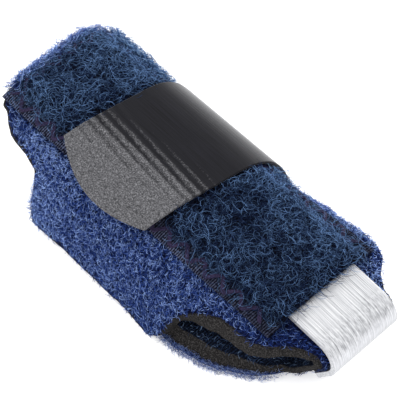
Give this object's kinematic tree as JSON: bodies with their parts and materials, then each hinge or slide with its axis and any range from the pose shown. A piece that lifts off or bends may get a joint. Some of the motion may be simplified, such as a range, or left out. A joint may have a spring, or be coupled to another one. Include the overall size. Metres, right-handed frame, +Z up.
{
  "type": "hammer toe corrector",
  "caption": "Padded cloth toe sleeve on a bent aluminium strip, open at the back and at the toe end, closed by a hook tab over a loop tape.",
  "frame": {"origin": "under the middle of the part's box, on the floor that the sole lies on", "axes": "+X along the toe towards its tip, +Y towards the side where the tab is sewn on, +Z up"},
  "size_m": [0.079, 0.0396, 0.0215],
  "materials": {
    "loop_cloth": "brushed royal-blue loop pile",
    "foam": "fine-celled dark foam with a navy lining",
    "loop_tape": "long curly navy loop pile",
    "strip_metal": "brushed along its length",
    "hook_tape": "smooth woven back, finely ridged at the free end"
  },
  "bodies": {
    "root": {"face_cloth": "loop_cloth", "foam_lining": "foam", "spine_tape": "loop_tape", "stay_strip": "strip_metal", "hook_tab": "hook_tape"}
  },
  "joints": []
}
